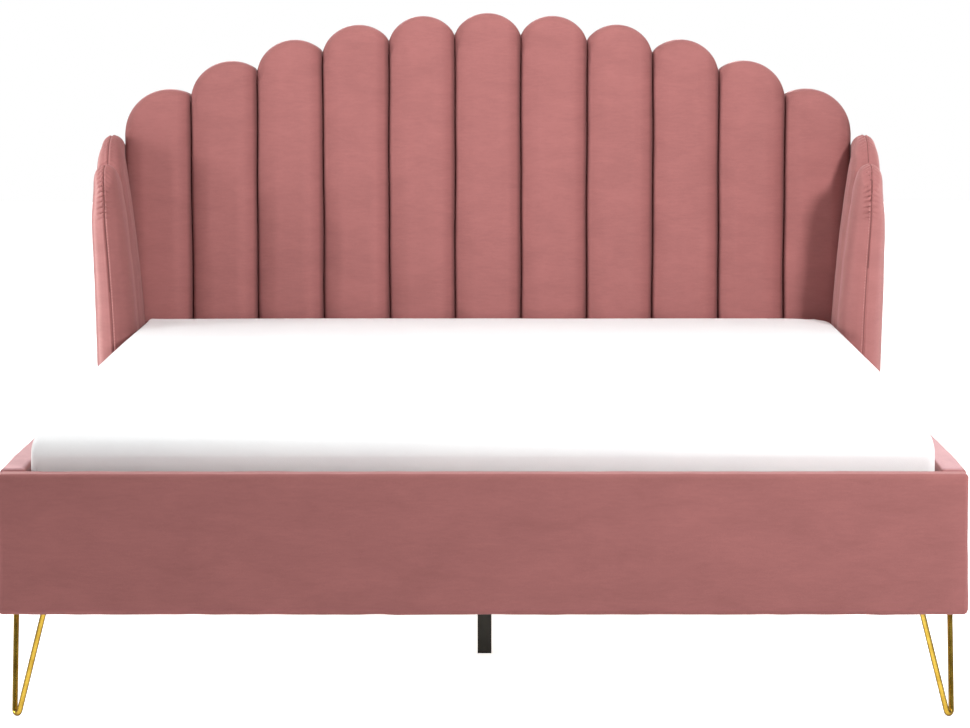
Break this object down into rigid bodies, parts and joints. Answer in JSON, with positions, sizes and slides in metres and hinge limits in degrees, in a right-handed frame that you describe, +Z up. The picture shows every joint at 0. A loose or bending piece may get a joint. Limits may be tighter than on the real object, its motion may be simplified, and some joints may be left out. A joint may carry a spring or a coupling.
{
  "type": "upholstered headboard bed",
  "caption": "Double bed with a padded scalloped channel headboard, short side wings, velvet rails, hairpin legs, a slat base and a lift-off mattress.",
  "frame": {"origin": "on the floor, under the middle of the bed's outline", "axes": "+X across the bed to the right when seen from the foot end, +Y from the foot end to the headboard, +Z up"},
  "size_m": [1.802, 2.161, 1.225],
  "materials": {
    "velvet": "matte",
    "mattress_fabric": "matte",
    "mattress_foam": "matte",
    "plywood": "matte",
    "frame_timber": "matte",
    "slat_wood": "satin",
    "gold_metal": "polished",
    "black_steel": "satin",
    "black_plastic": "matte",
    "zinc_steel": "satin"
  },
  "bodies": {
    "frame": {"beam_hangers": "zinc_steel", "centre_beam": "frame_timber", "centre_leg_feet": "black_plastic", "centre_leg_front": "black_steel", "centre_leg_rear": "black_steel", "corner_blocks": "frame_timber", "corner_bolts": "zinc_steel", "footboard_board": "frame_timber", "footboard_cover": "velvet", "hairpin_leg_front_left": "gold_metal", "hairpin_leg_front_right": "gold_metal", "hairpin_leg_rear_left": "gold_metal", "hairpin_leg_rear_right": "gold_metal", "headboard_back_cover": "velvet", "headboard_back_frame": "frame_timber", "headboard_board": "plywood", "headboard_channel_01": "velvet", "headboard_channel_02": "velvet", "headboard_channel_03": "velvet", "headboard_channel_04": "velvet", "headboard_channel_05": "velvet", "headboard_channel_06": "velvet", "headboard_channel_07": "velvet", "headboard_channel_08": "velvet", "headboard_channel_09": "velvet", "headboard_channel_10": "velvet", "headboard_channel_11": "velvet", "headboard_lower_rail": "frame_timber", "leg_screws": "zinc_steel", "rail_joint_bolts": "zinc_steel", "rail_joint_plates": "zinc_steel", "side_rail_board_left": "frame_timber", "side_rail_board_right": "frame_timber", "side_rail_cover_left": "velvet", "side_rail_cover_right": "velvet", "slat_01": "slat_wood", "slat_02": "slat_wood", "slat_03": "slat_wood", "slat_04": "slat_wood", "slat_05": "slat_wood", "slat_06": "slat_wood", "slat_07": "slat_wood", "slat_08": "slat_wood", "slat_09": "slat_wood", "slat_10": "slat_wood", "slat_11": "slat_wood", "slat_12": "slat_wood", "slat_ledge_left": "frame_timber", "slat_ledge_right": "frame_timber", "slat_screws": "zinc_steel", "wing_board_left": "plywood", "wing_board_right": "plywood", "wing_bolts": "zinc_steel", "wing_finger_front_left": "velvet", "wing_finger_front_right": "velvet", "wing_finger_rear_left": "velvet", "wing_finger_rear_right": "velvet"},
    "mattress": {"mattress_core": "mattress_foam", "mattress_cover": "mattress_fabric"}
  },
  "joints": [
    {"name": "mattress_lift", "type": "slide", "parent": "frame", "child": "mattress", "axis": [0, 0, 1], "range_m": [0, 0.75]}
  ]
}
